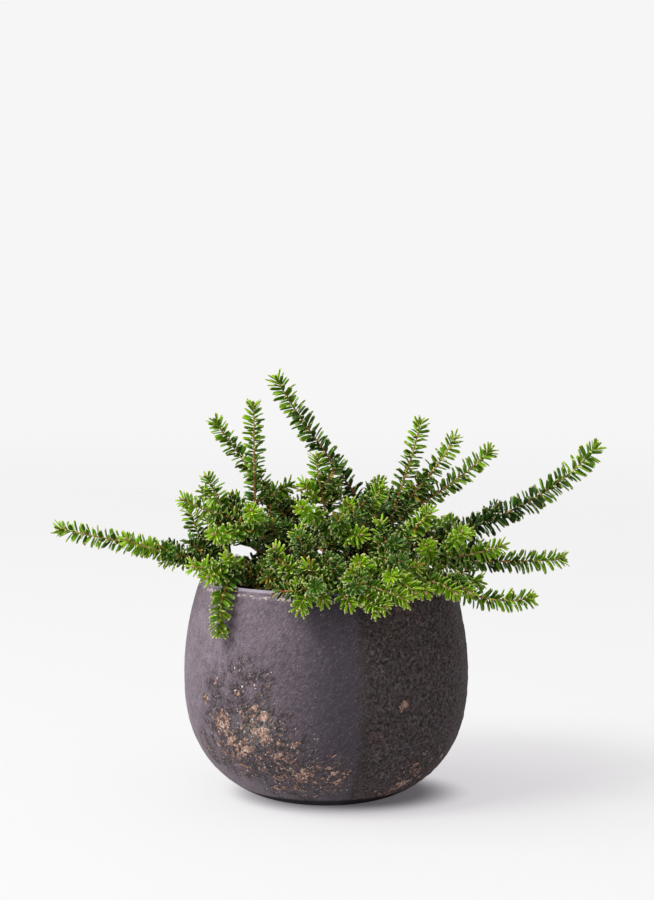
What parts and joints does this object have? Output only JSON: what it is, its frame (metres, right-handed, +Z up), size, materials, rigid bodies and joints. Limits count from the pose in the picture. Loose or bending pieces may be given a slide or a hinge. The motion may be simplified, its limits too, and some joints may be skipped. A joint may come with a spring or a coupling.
{
  "type": "potted grevillea",
  "caption": "Low spreading evergreen shrub with narrow leaves on arching shoots, growing in a round-bellied dark clay pot.",
  "frame": {"origin": "on the pot's axis, in the plane of the flat underside that it stands on", "axes": "+Z up along the pot's axis, +X to the viewer's right along the plant's widest spread, -Y towards the viewer"},
  "size_m": [0.4345, 0.2984, 0.3423],
  "materials": {
    "pot": "matte",
    "potting_mix": "matte",
    "stems": "matte",
    "foliage": "matte"
  },
  "bodies": {
    "root": {"bough_back_fifth": "stems", "bough_back_first": "stems", "bough_back_fourth": "stems", "bough_back_left": "stems", "bough_back_right": "stems", "bough_back_second": "stems", "bough_back_third": "stems", "bough_centre": "stems", "bough_crown": "stems", "bough_far_right": "stems", "bough_front": "stems", "bough_front_left": "stems", "bough_front_right": "stems", "bough_inner_left": "stems", "bough_low_left": "stems", "bough_right": "stems", "bough_right_front": "stems", "bough_rise_left": "stems", "bough_rise_right": "stems", "bough_tall_back": "stems", "bough_tall_left": "stems", "foliage_back_fifth": "foliage", "foliage_back_first": "foliage", "foliage_back_fourth": "foliage", "foliage_back_left": "foliage", "foliage_back_right": "foliage", "foliage_back_second": "foliage", "foliage_back_third": "foliage", "foliage_centre": "foliage", "foliage_crown": "foliage", "foliage_far_right": "foliage", "foliage_front": "foliage", "foliage_front_left": "foliage", "foliage_front_right": "foliage", "foliage_inner_left": "foliage", "foliage_low_left": "foliage", "foliage_right": "foliage", "foliage_right_front": "foliage", "foliage_rise_left": "foliage", "foliage_rise_right": "foliage", "foliage_tall_back": "foliage", "foliage_tall_left": "foliage", "main_stem": "stems", "pot": "pot", "potting_mix": "potting_mix"}
  },
  "joints": []
}
